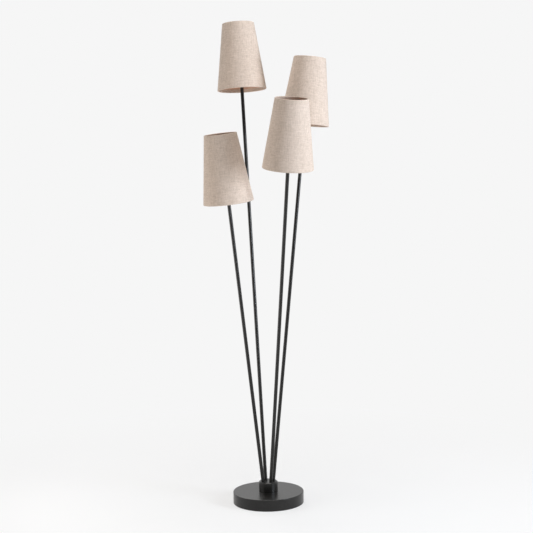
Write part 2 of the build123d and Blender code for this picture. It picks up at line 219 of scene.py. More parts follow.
class Shape:
    """Points, faces, UVs and material numbers, gathered in millimetres in a piece's own frame."""

    def __init__(self):
        self.points = []
        self.faces = []
        self.uvs = []
        self.inks = []

    def grid(self, rings, uv, around=True, along=True, ink=None):
        """Faces between rings of points; uv gives a corner's place and ink a face's material."""
        first = len(self.points)
        width = len(rings[0])
        for ring in rings:
            self.points += ring
        for j in range(len(rings) if around else len(rings) - 1):
            for i in range(width if along else width - 1):
                corners = ((j, i), (j + 1, i), (j + 1, i + 1), (j, i + 1))
                self.faces.append([first + a % len(rings) * width + b % width for a, b in corners])
                self.uvs.append([uv(a, b) for a, b in corners])
                self.inks.append(ink(i) if ink else 0)

    def lathe(self, outline, segments=96, shape=None, closed=True):
        """Outline turned about the z axis. shape(turn, radius, height) gives another radius."""
        rings = []
        for j in range(segments):
            turn = tau * j / segments
            ring = []
            for p in outline:
                radius = shape(turn, p.x, p.y) if shape else p.x
                ring.append(Vector((radius * cos(turn), radius * sin(turn), p.y)))
            rings.append(ring)
        lengths = [0.0]
        for a, b in zip(outline, outline[1:] + outline[:1]):
            lengths.append(lengths[-1] + (b - a).length)
        girth = tau * max(p.x for p in outline)
        self.grid(
            rings, lambda a, b: (girth * a / segments * MM, lengths[b] * MM), along=closed
        )

    def tube(self, path, radius, closed=False):
        """Round wire along a path, with domed ends where it is open."""
        sides = 16
        count = len(path)
        tangents = []
        for k in range(count):
            a = path[k - 1] if closed or k else path[0]
            b = path[(k + 1) % count] if closed or k < count - 1 else path[-1]
            tangents.append((b - a).normalized())
        across = tangents[0].orthogonal().normalized()
        stations = []
        for k in range(count):
            across = (across - tangents[k] * across.dot(tangents[k])).normalized()
            stations.append((path[k], tangents[k], across, radius))
        if not closed:
            head = []
            tail = []
            for share in (1.0, 0.92, 0.7, 0.38):
                out = radius * share
                ring_radius = max(1e-3, sqrt(radius**2 - out**2))
                for dome, end, way in ((head, stations[0], -1), (tail, stations[-1], 1)):
                    centre, tangent, side, _ = end
                    dome.append((centre + tangent * out * way, tangent, side, ring_radius))
            stations = head + stations + tail[::-1]
        rings = []
        for centre, tangent, side, r in stations:
            other = tangent.cross(side)
            turns = [tau * i / sides for i in range(sides)]
            rings.append([centre + (side * cos(t) + other * sin(t)) * r for t in turns])
        pitch = (path[1] - path[0]).length
        self.grid(
            rings,
            lambda a, b: (a * pitch * MM, tau * radius * b / sides * MM),
            around=closed,
        )

    def bead(self, centre, size, squash):
        """Small flattened drop of weld, its flat way along z."""
        outline = arc((0, 0), size, -90, 90, 8)
        first = len(self.points)
        self.lathe(outline, segments=14, closed=False)
        for point in self.points[first:]:
            point.z *= squash
            point += centre

    def mesh(self, name, place):
        """Blender mesh of the shape, carried to the row frame by a matrix in metres."""
        mesh = bpy.data.meshes.new(name)
        mesh.from_pydata([place @ (p * MM) for p in self.points], [], self.faces)
        layer = mesh.uv_layers.new(name="UVMap")
        layer.data.foreach_set("uv", [x for face in self.uvs for uv in face for x in uv])
        mesh.polygons.foreach_set("material_index", self.inks)
        tidy = bmesh.new()
        tidy.from_mesh(mesh)
        bmesh.ops.remove_doubles(tidy, verts=tidy.verts, dist=weld_distance)
        bmesh.ops.recalc_face_normals(tidy, faces=tidy.faces)
        tidy.to_mesh(mesh)
        tidy.free()
        return mesh


def add_object(name, mesh, materials):
    """Object with a smooth mesh, its flat faces kept flat by weighted normals."""
    mesh.polygons.foreach_set("use_smooth", [True] * len(mesh.polygons))
    piece = bpy.data.objects.new(name, mesh)
    bpy.context.scene.collection.objects.link(piece)
    for material in materials:
        mesh.materials.append(material)
    piece.modifiers.new("Flat faces", "WEIGHTED_NORMAL")
    return piece


def place_piece(name, shape, place, materials, body, node, holes=()):
    """Finished piece that rides on a body and stands for a CAD node, with holes cut in it."""
    piece = add_object(name, shape.mesh(name, place), materials)
    for hole in holes:
        piece = cut(piece, hole)
    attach(piece, body)
    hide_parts(node)
    return piece


def cut(piece, hole):
    """The piece with a closed mesh taken out of it."""
    tool = bpy.data.objects.new("tool", hole)
    bpy.context.scene.collection.objects.link(tool)
    boolean = piece.modifiers.new("Hole", "BOOLEAN")
    boolean.operation = "DIFFERENCE"
    boolean.solver = "EXACT"
    boolean.object = tool
    piece.modifiers.move(len(piece.modifiers) - 1, 0)
    piece.modifiers["Flat faces"].show_viewport = False
    evaluated = piece.evaluated_get(bpy.context.evaluated_depsgraph_get())
    result = bpy.data.meshes.new_from_object(evaluated)
    piece.modifiers.remove(boolean)
    piece.modifiers["Flat faces"].show_viewport = True
    piece.data = result
    bpy.data.objects.remove(tool)
    return piece


def cylinder(radius, bottom, top, place):
    """Closed mesh that a hole is cut with."""
    shape = Shape()
    corners = ((0, bottom), (radius, bottom), (radius, top), (0, top))
    shape.lathe([Vector(corner) for corner in corners], segments=64, closed=False)
    return shape.mesh("hole", place)


# ---- Finishes ---------------------------------------------------------------------------------


class Finish:
    """A material and short calls for the nodes that the finishes share."""

    def __init__(self, name):
        self.material = bpy.data.materials.new(name)
        self.material.use_nodes = True
        self.nodes = self.material.node_tree.nodes
        self.links = self.material.node_tree.links
        self.shader = self.nodes["Principled BSDF"]

    def feed(self, socket, value):
        """Link an output to a socket, or set the socket's own value."""
        if isinstance(value, bpy.types.NodeSocket):
            self.links.new(value, socket)
        else:
            socket.default_value = value

    def node(self, kind, inputs, **settings):
        """New node with its settings made and its inputs fed, by name or number."""
        made = self.nodes.new("ShaderNode" + kind)
        for name, value in settings.items():
            setattr(made, name, value)
        for name, value in inputs.items():
            self.feed(made.inputs[name], value)
        return made

    def math(self, operation, first, second=0.0, third=0.0):
        """Result of a sum on up to three values."""
        values = {0: first, 1: second, 2: third}
        return self.node("Math", values, operation=operation).outputs[0]

    def where(self, output="Object"):
        """Place on the piece: Object for the row frame in metres, UV for its own surface."""
        return self.node("TexCoord", {}).outputs[output]

    def stretched(self, vector, scale):
        """Coordinates scaled by a different number along each axis."""
        return self.node("Mapping", {"Vector": vector, "Scale": scale}).outputs[0]

    def noise(self, vector, scale, detail=2.0, roughness=0.5):
        """Soft noise from 0 to 1, mostly near 0.5."""
        inputs = {"Vector": vector, "Scale": scale, "Detail": detail, "Roughness": roughness}
        return self.node("TexNoise", inputs).outputs["Fac"]

    def spots(self, vector, scale):
        """Distance to the nearest of many scattered points."""
        return self.node("TexVoronoi", {"Vector": vector, "Scale": scale}).outputs["Distance"]

    def ramp(self, factor, *stops):
        """Colours at places along a factor."""
        made = self.node("ValToRGB", {"Fac": factor})
        elements = made.color_ramp.elements
        while len(elements) < len(stops):
            elements.new(0.5)
        for element, (place, colour) in zip(elements, stops):
            element.position = place
            element.color = (*colour, 1)
        return made.outputs["Color"]

    def span(self, factor, low, high, bottom=0.0, top=1.0):
        """A factor from bottom to top turned into a value from low to high."""
        values = {"Value": factor, 1: bottom, 2: top, 3: low, 4: high}
        return self.node("MapRange", values).outputs[0]

    def mix(self, factor, first, second, blend="MIX"):
        """Blend of two colours."""
        made = self.node("Mix", {0: factor}, data_type="RGBA", blend_type=blend)
        self.feed(made.inputs["A"], first)
        self.feed(made.inputs["B"], second)
        return made.outputs["Result"]

    def bump(self, height, distance, strength=1.0, normal=None):
        """Surface direction tilted by a height, at most a distance in metres deep."""
        values = {"Height": height, "Distance": distance, "Strength": strength}
        if normal is not None:
            values["Normal"] = normal
        return self.node("Bump", values).outputs[0]

    def shade(self, **values):
        """Set or link the shader's sockets, named in lower case with underscores."""
        for name, value in values.items():
            socket = self.shader.inputs[name.replace("_", " ").title().replace("Ior", "IOR")]
            self.feed(socket, value)
        return self.material


def coated_metal():
    """Satin black powder coat: a fine orange peel, faint rubs and a little settled dust."""
    f = Finish("satin_black_coat")
    at = f.where()
    cloud = f.noise(at, 22.0, 3.0)
    peel = f.noise(at, 1500.0, 2.0, 0.6)
    rubs = f.noise(f.stretched(at, (260.0, 260.0, 900.0)), 1.0, 4.0, 0.7)
    dust = f.span(f.noise(at, 3200.0, 1.0), 0.0, 0.35, 0.72, 0.84)
    up = f.node("SeparateXYZ", {0: f.node("NewGeometry", {}).outputs["Normal"]}).outputs[2]
    settled = f.math("MULTIPLY", dust, f.span(up, 0.0, 0.35, 0.6, 1.0))
    black = f.ramp(cloud, (0.3, (0.0072, 0.0066, 0.0058)), (0.75, (0.0115, 0.0105, 0.0094)))
    satin = f.span(rubs, 0.26, 0.35, 0.3, 0.7)
    return f.shade(
        base_color=f.mix(settled, black, (0.1, 0.095, 0.09, 1)),
        roughness=f.math("ADD", satin, f.math("MULTIPLY", settled, 0.3)),
        specular_ior_level=0.38,
        normal=f.bump(peel, 0.00003, 0.3),
    )


def cast_iron():
    """Rough grey casting with pits and a brown bloom."""
    f = Finish("cast_iron")
    at = f.where()
    grain = f.noise(at, 700.0, 5.0, 0.65)
    bloom = f.noise(at, 45.0, 4.0)
    pits = f.spots(at, 420.0)
    return f.shade(
        base_color=f.mix(
            f.span(bloom, 0.0, 0.6, 0.5, 0.75),
            f.ramp(grain, (0.3, (0.05, 0.048, 0.046)), (0.7, (0.13, 0.125, 0.12))),
            (0.12, 0.07, 0.045, 1),
        ),
        metallic=0.8,
        roughness=f.span(grain, 0.55, 0.85, 0.3, 0.7),
        normal=f.bump(pits, 0.0003, 0.5, f.bump(grain, 0.0002, 0.6)),
    )


def plated(name, dull, bright):
    """Plated or polished metal: turning marks, faint stains and small scratches."""
    f = Finish(name)
    at = f.where()
    stain = f.noise(at, 60.0, 4.0, 0.6)
    marks = f.noise(f.stretched(at, (150.0, 150.0, 5200.0)), 1.0, 3.0, 0.7)
    hairs = f.noise(f.stretched(at, (4000.0, 260.0, 300.0)), 1.0, 2.0)
    scratches = f.span(hairs, 0.0, 1.0, 0.66, 0.72)
    turned = f.span(marks, 0.18, 0.34, 0.3, 0.7)
    return f.shade(
        base_color=f.ramp(stain, (0.25, dull), (0.7, bright)),
        metallic=1.0,
        roughness=f.math("ADD", turned, f.math("MULTIPLY", scratches, 0.12)),
        normal=f.bump(marks, 0.00003, 0.5),
    )


def moulded(name, dark, pale, roughness, grain=0.00005):
    """Moulded plastic or unglazed ceramic with a fine spark-eroded grain."""
    f = Finish(name)
    at = f.where()
    fine = f.noise(at, 2600.0, 3.0, 0.6)
    cloud = f.noise(at, 70.0, 3.0)
    return f.shade(
        base_color=f.ramp(cloud, (0.25, dark), (0.75, pale)),
        roughness=f.span(fine, roughness - 0.06, roughness + 0.08, 0.3, 0.7),
        normal=f.bump(fine, grain, 0.6),
    )


def felt():
    """Pressed felt: matted fibres that lie every way, with a few pale ones."""
    f = Finish("pressed_felt")
    at = f.where()
    lay = f.noise(f.stretched(at, (2600.0, 500.0, 900.0)), 1.0, 3.0, 0.7)
    cross = f.noise(f.stretched(at, (500.0, 2600.0, 900.0)), 1.0, 3.0, 0.7)
    fibres = f.math("MAXIMUM", lay, cross)
    return f.shade(
        base_color=f.ramp(
            fibres,
            (0.4, (0.012, 0.012, 0.012)),
            (0.62, (0.04, 0.039, 0.038)),
            (0.74, (0.16, 0.155, 0.15)),
        ),
        roughness=0.95,
        sheen_weight=0.35,
        sheen_roughness=0.5,
        normal=f.bump(fibres, 0.0004, 0.8),
    )


def white_wire():
    """White dipped coating on wire, a little uneven, yellower where it is thin."""
    f = Finish("white_wire_coat")
    at = f.where()
    thick = f.noise(at, 420.0, 3.0)
    return f.shade(
        base_color=f.ramp(thick, (0.25, (0.58, 0.54, 0.46)), (0.6, (0.74, 0.72, 0.67))),
        roughness=f.span(thick, 0.28, 0.42, 0.3, 0.7),
        coat_weight=0.25,
        coat_roughness=0.2,
        normal=f.bump(thick, 0.0001, 0.6),
    )


def opal_glass():
    """Opal glass: a milky body under a clear gloss, with faint flow lines."""
    f = Finish("opal_glass")
    flow = f.noise(f.stretched(f.where(), (60.0, 60.0, 18.0)), 1.0, 3.0)
    return f.shade(
        base_color=f.ramp(flow, (0.3, (0.78, 0.775, 0.75)), (0.7, (0.84, 0.835, 0.815))),
        roughness=f.span(flow, 0.1, 0.2, 0.3, 0.7),
        subsurface_weight=0.4,
        subsurface_scale=0.004,
        subsurface_radius=(1.0, 0.9, 0.8),
        coat_weight=0.6,
        coat_roughness=0.05,
        normal=f.bump(flow, 0.0002, 0.3),
    )


def linen():
    """Heathered linen: a plain weave of uneven threads in undyed, oatmeal and taupe flax."""
    f = Finish("oatmeal_linen")
    uv = f.where("UV")
    shift = f.noise(uv, 90.0, 2.0)
    sway = f.noise(f.stretched(uv, (1.0, -1.0, 1.0)), 105.0, 2.0)
    split = f.node("SeparateXYZ", {0: uv}).outputs
    density = 1 / thread_pitch
    warp = f.math("MULTIPLY_ADD", split[0], density, f.math("MULTIPLY", shift, 1.6))
    weft = f.math("MULTIPLY_ADD", split[1], density, f.math("MULTIPLY", sway, 1.6))
    tones = []
    heights = []
    for across, along, sign in ((warp, weft, 0.5), (weft, warp, -0.5)):
        number = f.math("FLOOR", across)
        place = f.math("SUBTRACT", f.math("FRACT", across), 0.5)
        crown = f.math("MULTIPLY_ADD", f.math("MULTIPLY", place, place), -4.0, 1.0)
        wave = f.math("SINE", f.math("MULTIPLY", f.math("ADD", along, number), pi))
        lift = f.math("MULTIPLY_ADD", wave, sign, 0.5)
        slub_at = f.node("CombineXYZ", {0: number, 1: f.math("MULTIPLY", along, 0.06), 2: sign})
        slub = f.noise(slub_at.outputs[0], 0.83, 3.0, 0.6)
        full = f.math("MULTIPLY", crown, f.span(slub, 0.55, 1.15, 0.3, 0.7))
        heights.append(f.math("MULTIPLY", full, f.span(lift, 0.35, 1.0)))
        tones.append(slub)
    height = f.math("MAXIMUM", *heights)
    over = f.math("GREATER_THAN", *heights)
    thread = f.node("Mix", {0: over, 2: tones[1], 3: tones[0]}).outputs[0]
    heather = f.noise(uv, 150.0, 4.0, 0.7)
    streaks = f.math(
        "ADD",
        f.noise(f.stretched(uv, (45.0, 330.0, 1.0)), 1.0, 2.0),
        f.noise(f.stretched(uv, (330.0, 45.0, 1.0)), 1.0, 2.0),
    )
    tone = f.math(
        "ADD",
        f.math("MULTIPLY_ADD", thread, 0.39, f.math("MULTIPLY", heather, 0.25)),
        f.math("MULTIPLY", streaks, 0.19),
    )
    flax = f.ramp(
        tone,
        (0.3, linen_dark),
        (0.42, linen_middle),
        (0.54, linen_pale),
        (0.68, linen_bright),
    )
    # Painted shade: the base colour is darkened where the threads dip below the crowns of the
    # weave
    depth = f.span(height, 0.72, 1.03, 0.15, 0.8)
    shadow = f.node("CombineColor", {0: depth, 1: depth, 2: depth}).outputs[0]
    fuzz = f.noise(uv, 5200.0, 2.0)
    return f.shade(
        base_color=f.mix(1.0, flax, shadow, "MULTIPLY"),
        roughness=f.span(fuzz, 0.78, 0.95, 0.3, 0.7),
        specular_ior_level=0.3,
        sheen_weight=0.12,
        sheen_roughness=0.45,
        normal=f.bump(fuzz, 0.0001, 0.4, f.bump(height, 0.00035, 0.6)),
    )


def lining():
    """Warm tan film that backs the linen, with the weave printing through."""
    f = Finish("tan_backing")
    uv = f.where("UV")
    weave = f.noise(f.stretched(uv, (900.0, 300.0, 1.0)), 1.0, 3.0, 0.6)
    cloud = f.noise(uv, 40.0, 3.0)
    tone = f.math("MULTIPLY_ADD", weave, 0.5, f.math("MULTIPLY", cloud, 0.5))
    return f.shade(
        base_color=f.ramp(tone, (0.35, backing_dark), (0.62, backing_pale)),
        roughness=f.span(weave, 0.45, 0.6, 0.3, 0.7),
        normal=f.bump(weave, 0.00006, 0.5),
    )


thread_pitch = 0.0011  # metres
linen_dark = (0.48, 0.37, 0.28)
linen_middle = (0.66, 0.53, 0.43)
linen_pale = (0.78, 0.645, 0.545)
linen_bright = (0.87, 0.75, 0.66)
backing_dark = (0.62, 0.37, 0.25)
backing_pale = (0.76, 0.49, 0.35)

BLACK = coated_metal()
IRON = cast_iron()
ZINC = plated("zinc_plate", (0.42, 0.42, 0.43), (0.66, 0.67, 0.69))
NICKEL = plated("nickel_plate", (0.55, 0.53, 0.5), (0.74, 0.72, 0.69))
BRASS = plated("brass", (0.52, 0.36, 0.14), (0.8, 0.62, 0.3))
BLACK_PLASTIC = moulded("black_moulding", (0.014, 0.014, 0.014), (0.022, 0.022, 0.022), 0.45)
WHITE_PLASTIC = moulded("white_moulding", (0.62, 0.61, 0.57), (0.72, 0.71, 0.68), 0.5)
SHEATH = moulded("flex_sheath", (0.02, 0.02, 0.02), (0.035, 0.034, 0.033), 0.6, 0.0001)
CERAMIC = moulded("unglazed_ceramic", (0.62, 0.6, 0.55), (0.76, 0.74, 0.7), 0.75, 0.00012)
FELT = felt()
WIRE = white_wire()
OPAL = opal_glass()
LINEN = linen()
BACKING = lining()

# ---- Base -------------------------------------------------------------------------------------


def make_base_shell():
    """Pressed shell: rounded upper edge, rolled lower lip, holes for the hub and the cable."""
    inside = base_radius - shell_wall
    ceiling = base_top - shell_wall
    shape = Shape()
    outline = rounded(
        [
            (chamber_radius, ceiling, 0.2),
            (chamber_radius, base_top, 0.2),
            (base_radius, base_top, base_edge_radius),
            (base_radius, shell_lift, shell_lip),
            (inside, shell_lift, shell_lip),
            (inside, ceiling, base_edge_radius - shell_wall),
        ]
    )
    shape.lathe(divided(outline, 8.0), segments=256)
    backward = Matrix.Translation((0, 0, bush_height * MM)) @ Matrix.Rotation(-pi / 2, 4, "X")
    ends = (base_radius - cut_past, base_radius + cut_past)
    hole = cylinder(bush_neck + bore_slack, *ends, backward)
    place_piece(
        "base_shell", shape, UPRIGHT, [BLACK], "stand", "base_cover", [hole]
    )


def make_hub(arm_places):
    """Turned hub with a broken edge, a wiring chamber below and four slanting bores."""
    shape = Shape()
    outline = rounded(
        [
            (chamber_radius, base_top, turned_edge),
            (hub_radius, base_top, turned_edge),
            (hub_radius, hub_top - hub_chamfer, turned_edge),
            (hub_radius - hub_chamfer, hub_top, turned_edge),
            (0, hub_top, 0),
            (0, base_top + chamber_depth, 0),
            (chamber_radius, base_top + chamber_depth, turned_edge),
        ]
    )
    shape.lathe(divided(outline, 6.0), segments=160)
    holes = [cylinder(rod_bore, -hub_height, rod_radius, place) for place in arm_places]
    for k in range(hub_screw_count):
        turn = radians(hub_screw_turn + k * 360 / hub_screw_count)
        middle = Vector((cos(turn), sin(turn), 0)) * hub_screw_circle_radius * MM
        depth = (base_top - 1, base_top + hub_screw_depth)
        holes.append(cylinder(hub_screw_radius, *depth, Matrix.Translation(middle)))
    place_piece("hub_turned", shape, UPRIGHT, [BLACK], "stand", "hub", holes)


def make_pad():
    """Die-cut felt pad with a soft edge."""
    shape = Shape()
    outline = rounded(
        [(0, pad_thickness, 0), (pad_radius, pad_thickness, 0.4), (pad_radius, 0, 0.7), (0, 0, 0)],
        closed=False,
    )

    def ragged(turn, radius, height):
        """Radius that wavers at the cut edge alone."""
        if radius < pad_radius - 2:
            return radius
        waver = noise.noise((40 * cos(turn), 40 * sin(turn), height))
        return radius - felt_fray * (0.5 + waver)

    outline = divided(outline, 6.0, closed=False)
    shape.lathe(outline, segments=320, shape=ragged, closed=False)
    place_piece("felt_pad", shape, UPRIGHT, [FELT], "stand", "foot_pad")


def make_bush():
    """Snap-in bush: outer flange, neck, and barbs behind the wall."""
    shape = Shape()
    inner_flange = bush_flange_thickness + shell_wall + bush_slack
    outline = rounded(
        [
            (bush_bore, 0, 0.8),
            (bush_flange, 0, 0.8),
            (bush_flange, bush_flange_thickness - bore_slack, 0.3),
            (bush_neck, bush_flange_thickness - bore_slack, 0),
            (bush_neck, inner_flange, 0),
            (bush_inner_flange, inner_flange, 0.2),
            (bush_inner_flange, inner_flange + bush_flange_thickness, 0.8),
            (bush_neck, inner_flange + bush_flange_thickness, 0.2),
            (bush_neck, bush_length, 0.5),
            (bush_bore, bush_length, 0.3),
        ]
    )
    shape.lathe(outline)
    outside = (base_radius + bush_flange_thickness) * MM
    place = Matrix.Translation((0, outside, bush_height * MM)) @ Matrix.Rotation(pi / 2, 4, "X")
    place_piece("cord_bush", shape, place, [BLACK_PLASTIC], "stand", "cable_bush")


# ---- Arms -------------------------------------------------------------------------------------


def thread(bottom, top, pitch, depth):
    """Radius of a cylinder with a round thread cut into it, fading at its two ends."""

    def cut_in(turn, radius, height):
        """Radius with the thread in it; it winds up by one pitch at each turn."""
        fade = min(1.0, (height - bottom) / pitch, (top - height) / pitch)
        if fade <= 0:
            return radius
        wave = 0.5 - 0.5 * cos(tau * (height / pitch - turn / tau))
        return radius - depth * fade * wave

    return cut_in


def make_rod(arm, place, reach):
    """Steel tube of one arm."""
    top = reach + holder_base + cap_floor
    shape = Shape()
    outline = rounded(
        [
            (rod_radius - rod_wall, -rod_grip, 0.2),
            (rod_radius, -rod_grip, 0.3),
            (rod_radius, top, 0.3),
            (rod_radius - rod_wall, top, 0.2),
        ]
    )
    shape.lathe(divided(outline, 120.0), segments=64)
    place_piece(f"arm_tube_{arm}", shape, place, [BLACK], "stand", f"rod_{arm}")


def holder_cap():
    """Cap on the end of the rod, which carries the ceramic core."""
    shape = Shape()
    low, high = holder_base, holder_base + cap_height
    outline = rounded(
        [
            (rod_bore, low, 0.2),
            (cap_neck_radius, low, 0.5),
            (cap_neck_radius, low + cap_neck_height, 0.8),
            (cap_radius, low + cap_shoulder_height, 2.0),
            (cap_radius, high, 0.3),
            (cap_radius - cap_wall, high, 0.3),
            (cap_radius - cap_wall, low + cap_floor, 0.4),
            (rod_bore, low + cap_floor, 0.2),
        ]
    )
    shape.lathe(divided(outline, 4.0))
    return shape


def holder_skirt():
    """Threaded skirt, with the flange that the fitter of the shade rests on."""
    shape = Shape()
    bottom, top = skirt_bottom, skirt_bottom + skirt_height
    flange = bottom + skirt_flange_thickness
    outline = rounded(
        [
            (skirt_radius - skirt_wall, bottom, 0.2),
            (skirt_flange_radius, bottom, 0.6),
            (skirt_flange_radius, flange, 0.6),
            (skirt_radius, flange, 0.3),
            (skirt_radius, top, 0.8),
            (skirt_mouth, top, 0.5),
            (skirt_mouth, top - skirt_lip, 0.3),
            (skirt_radius - skirt_wall, top - skirt_lip, 0.3),
        ]
    )
    screw = thread(flange + 1, top - 1, skirt_thread_pitch, skirt_thread_depth)

    def threaded(turn, radius, height):
        """Radius with the thread cut into the outer wall alone."""
        return screw(turn, radius, height) if abs(radius - skirt_radius) < 0.01 else radius

    shape.lathe(divided(outline, 0.3), segments=72, shape=threaded)
    return shape


def shade_nut():
    """Ring nut with finger notches, which clamps the fitter of the shade on the skirt."""
    shape = Shape()
    collar = skirt_radius + bore_slack
    outline = rounded(
        [
            (collar, nut_bottom, 0.2),
            (nut_radius, nut_bottom, 0.5),
            (nut_radius, nut_bottom + nut_flange, 0.5),
            (nut_collar, nut_bottom + nut_flange, 0.3),
            (nut_collar, nut_bottom + nut_height, 0.5),
            (collar, nut_bottom + nut_height, 0.3),
        ]
    )
    middle = nut_radius + nut_grip_radius - nut_grip_depth

    def notched(turn, radius, height):
        """Radius cut back by the finger notches round the flange."""
        step = tau / nut_grips
        aside = middle * sin((turn + step / 2) % step - step / 2)
        if abs(aside) >= nut_grip_radius or radius <= nut_collar:
            return radius
        notch = middle - sqrt(nut_grip_radius**2 - aside**2)
        share = (radius - nut_collar) / (nut_radius - nut_collar)
        return radius - max(0.0, nut_radius - notch) * share

    shape.lathe(divided(outline, 1.0), segments=240, shape=notched)
    return shape


def make_holder(arm, rim):
    """Lampholder on the end of the rod, and the ring nut that holds the shade on it."""
    for node, make in (
        ("holder_cap", holder_cap),
        ("holder_skirt", holder_skirt),
        ("shade_nut", shade_nut),
    ):
        name = f"{node}_moulded_{arm}"
        place_piece(name, make(), rim, [BLACK_PLASTIC], "stand", f"{node}_{arm}")


def bulb_cap():
    """Cap with a round thread and a soldered tip."""
    low = bulb_seat
    cap_low = low + bulb_tip_height
    shape = Shape()
    outline = rounded(
        [
            (0, low, 0),
            (bulb_tip_radius * 0.55, low, 0.5),
            (bulb_tip_radius * 0.6, low + bulb_solder_height - 0.1, 0.2),
            (bulb_tip_radius, low + bulb_solder_height, 0.6),
            (bulb_tip_radius, cap_low, 0.3),
            (bulb_cap_radius, cap_low + 1.2, 0.6),
            (bulb_cap_radius, bulb_glass_bottom, 0.5),
            (0, bulb_glass_bottom, 0),
        ],
        closed=False,
    )
    screw = thread(
        cap_low + 1.0, bulb_glass_bottom - 3.5, bulb_thread_pitch, bulb_thread_depth
    )

    def threaded(turn, radius, height):
        """Radius with the thread rolled into the wall alone."""
        return screw(turn, radius, height) if abs(radius - bulb_cap_radius) < 0.02 else radius

    outline = divided(outline, 0.3, closed=False)
    shape.lathe(outline, segments=72, shape=threaded, closed=False)
    return shape


def bulb_glass():
    """Hollow candle of two arcs that meet at the widest place, and a small round point."""
    fullness = bulb_radius - bulb_neck_radius
    lower = (fullness**2 + bulb_widest**2) / (2 * fullness)
    lower_centre = (bulb_radius - lower, bulb_glass_bottom + bulb_widest)
    climb = bulb_height - bulb_point_radius - bulb_widest
    narrowing = bulb_radius - bulb_point_radius
    upper = (bulb_radius**2 + climb**2 - bulb_point_radius**2) / (2 * narrowing)
    upper_centre = (bulb_radius - upper, bulb_glass_bottom + bulb_widest)
    point_centre = (0, bulb_glass_bottom + bulb_height - bulb_point_radius)
    rise = degrees(atan2(climb, upper - bulb_radius))
    walls = []
    for inset in (0.0, bulb_wall):
        fall = degrees(asin(bulb_widest / (lower - inset)))
        wall = arc(lower_centre, lower - inset, -fall, 0, 18)
        wall += arc(upper_centre, upper - inset, 0, rise, 24)[1:]
        wall += arc(point_centre, bulb_point_radius - inset, rise, 90, 6)[1:]
        walls.append(wall)
    outer, inner = walls
    shape = Shape()
    shape.lathe(inner[::-1] + outer, closed=False)
    shape.lathe([inner[0], outer[0]], closed=False)
    return shape


def make_bulb(arm, rim):
    """Candle bulb: opal glass on a nickel cap."""
    body = f"{arm}_bulb"
    cap, glass = f"bulb_cap_{arm}", f"bulb_{arm}"
    place_piece(f"bulb_screw_cap_{arm}", bulb_cap(), rim, [NICKEL], body, cap)
    place_piece(f"bulb_glass_{arm}", bulb_glass(), rim, [OPAL], body, glass)


# ---- Shades -----------------------------------------------------------------------------------


def spun(outline, turn):
    """Points of an outline at one turn about the arm."""
    return [Vector((p.x * cos(turn), p.x * sin(turn), p.y)) for p in outline]


def add_ring(shape, place):
    """Ring of wire about the arm, through a (radius, height) place."""
    steps = 180
    path = [spun([Vector(place)], tau * k / steps)[0] for k in range(steps)]
    shape.tube(path, wire_radius, closed=True)


def make_frame(arm, rim):
    """Wire ring, three bent spokes and a flat fitter, welded together and dipped white."""
    body = f"{arm}_shade"
    shape = Shape()
    add_ring(shape, lower_ring)
    outline = rounded(
        [
            (fitter_hole, fitter_bottom, 0.3),
            (fitter_radius, fitter_bottom, 0.4),
            (fitter_radius, fitter_bottom + fitter_thickness, 0.4),
            (fitter_hole, fitter_bottom + fitter_thickness, 0.3),
        ]
    )
    shape.lathe(outline)
    path = rounded(
        [
            (fitter_radius - 2 * wire_radius, fitter_middle, 0),
            (spoke_shoulder, fitter_middle, spoke_bend),
            (*lower_ring, 0),
        ],
        closed=False,
    )
    for turn in spoke_turns:
        spoke = spun(divided(path, 4.0, closed=False), radians(turn))
        shape.tube(spoke, wire_radius)
        inward = spun([Vector((fitter_radius - 0.6, fitter_middle))], radians(turn))[0]
        shape.bead(inward, size=1.7, squash=0.75)
        shape.bead(spoke[-1], size=1.5, squash=0.9)
    place_piece(f"wire_frame_{arm}", shape, rim, [WIRE], body, f"shade_frame_{arm}")

    shape = Shape()
    add_ring(shape, upper_ring)
    place_piece(f"wire_ring_{arm}", shape, rim, [WIRE], body, f"shade_ring_{arm}")


def shade_outline():
    """Closed outline of the linen: (point, distance from the cone's apex, is it linen)."""
    along = Vector((-sin(slope), cos(slope)))
    outward = Vector((cos(slope), sin(slope)))
    low = Vector(lower_ring)
    high = Vector(upper_ring)

    def on_wall(start, up, out):
        """Place up the cone's wall from a start and out from it."""
        return start + along * up + outward * out

    def straight(start, end, step):
        """Points on a straight stretch, no further apart than a step."""
        return divided([start, end], step, False)

    tilt = degrees(slope)
    cut_round = fold_inside - hem_round
    upper_edge = on_wall(high, -hem_depth, fold_inside - hem_step)
    lower_edge = on_wall(low, hem_depth, fold_inside - hem_step)
    backing_top = on_wall(high, -hem_depth - backing_start, fold_inside)
    backing_bottom = on_wall(low, hem_depth + backing_start, fold_inside)
    runs = (
        (straight(on_wall(low, 0, fold_outside), on_wall(high, 0, fold_outside), 7.5), True),
        (arc(upper_ring, fold_outside, tilt, 180 + tilt, 14), True),
        (straight(on_wall(high, 0, -fold_outside), upper_edge, 2.5), True),
        ([on_wall(high, -hem_depth - hem_corner, cut_round)], True),
        (straight(backing_top, backing_bottom, 12.0), False),
        ([on_wall(low, hem_depth + hem_corner, cut_round)], True),
        (straight(lower_edge, on_wall(low, 0, -fold_outside), 2.5), True),
        (arc(lower_ring, fold_outside, -180 + tilt, tilt, 14), True),
    )
    points = []
    for run, is_linen in runs:
        for point in run:
            if not points or (point - points[-1][0]).length > 0.02:
                points.append((point, is_linen))
    if (points[0][0] - points[-1][0]).length < 0.02:
        points.pop()
    outline = []
    reach = shade_bottom_radius / sin(slope)
    for index, (point, is_linen) in enumerate(points):
        if index:
            reach -= (point - points[index - 1][0]).length
        outline.append((point, reach, is_linen))
    return outline


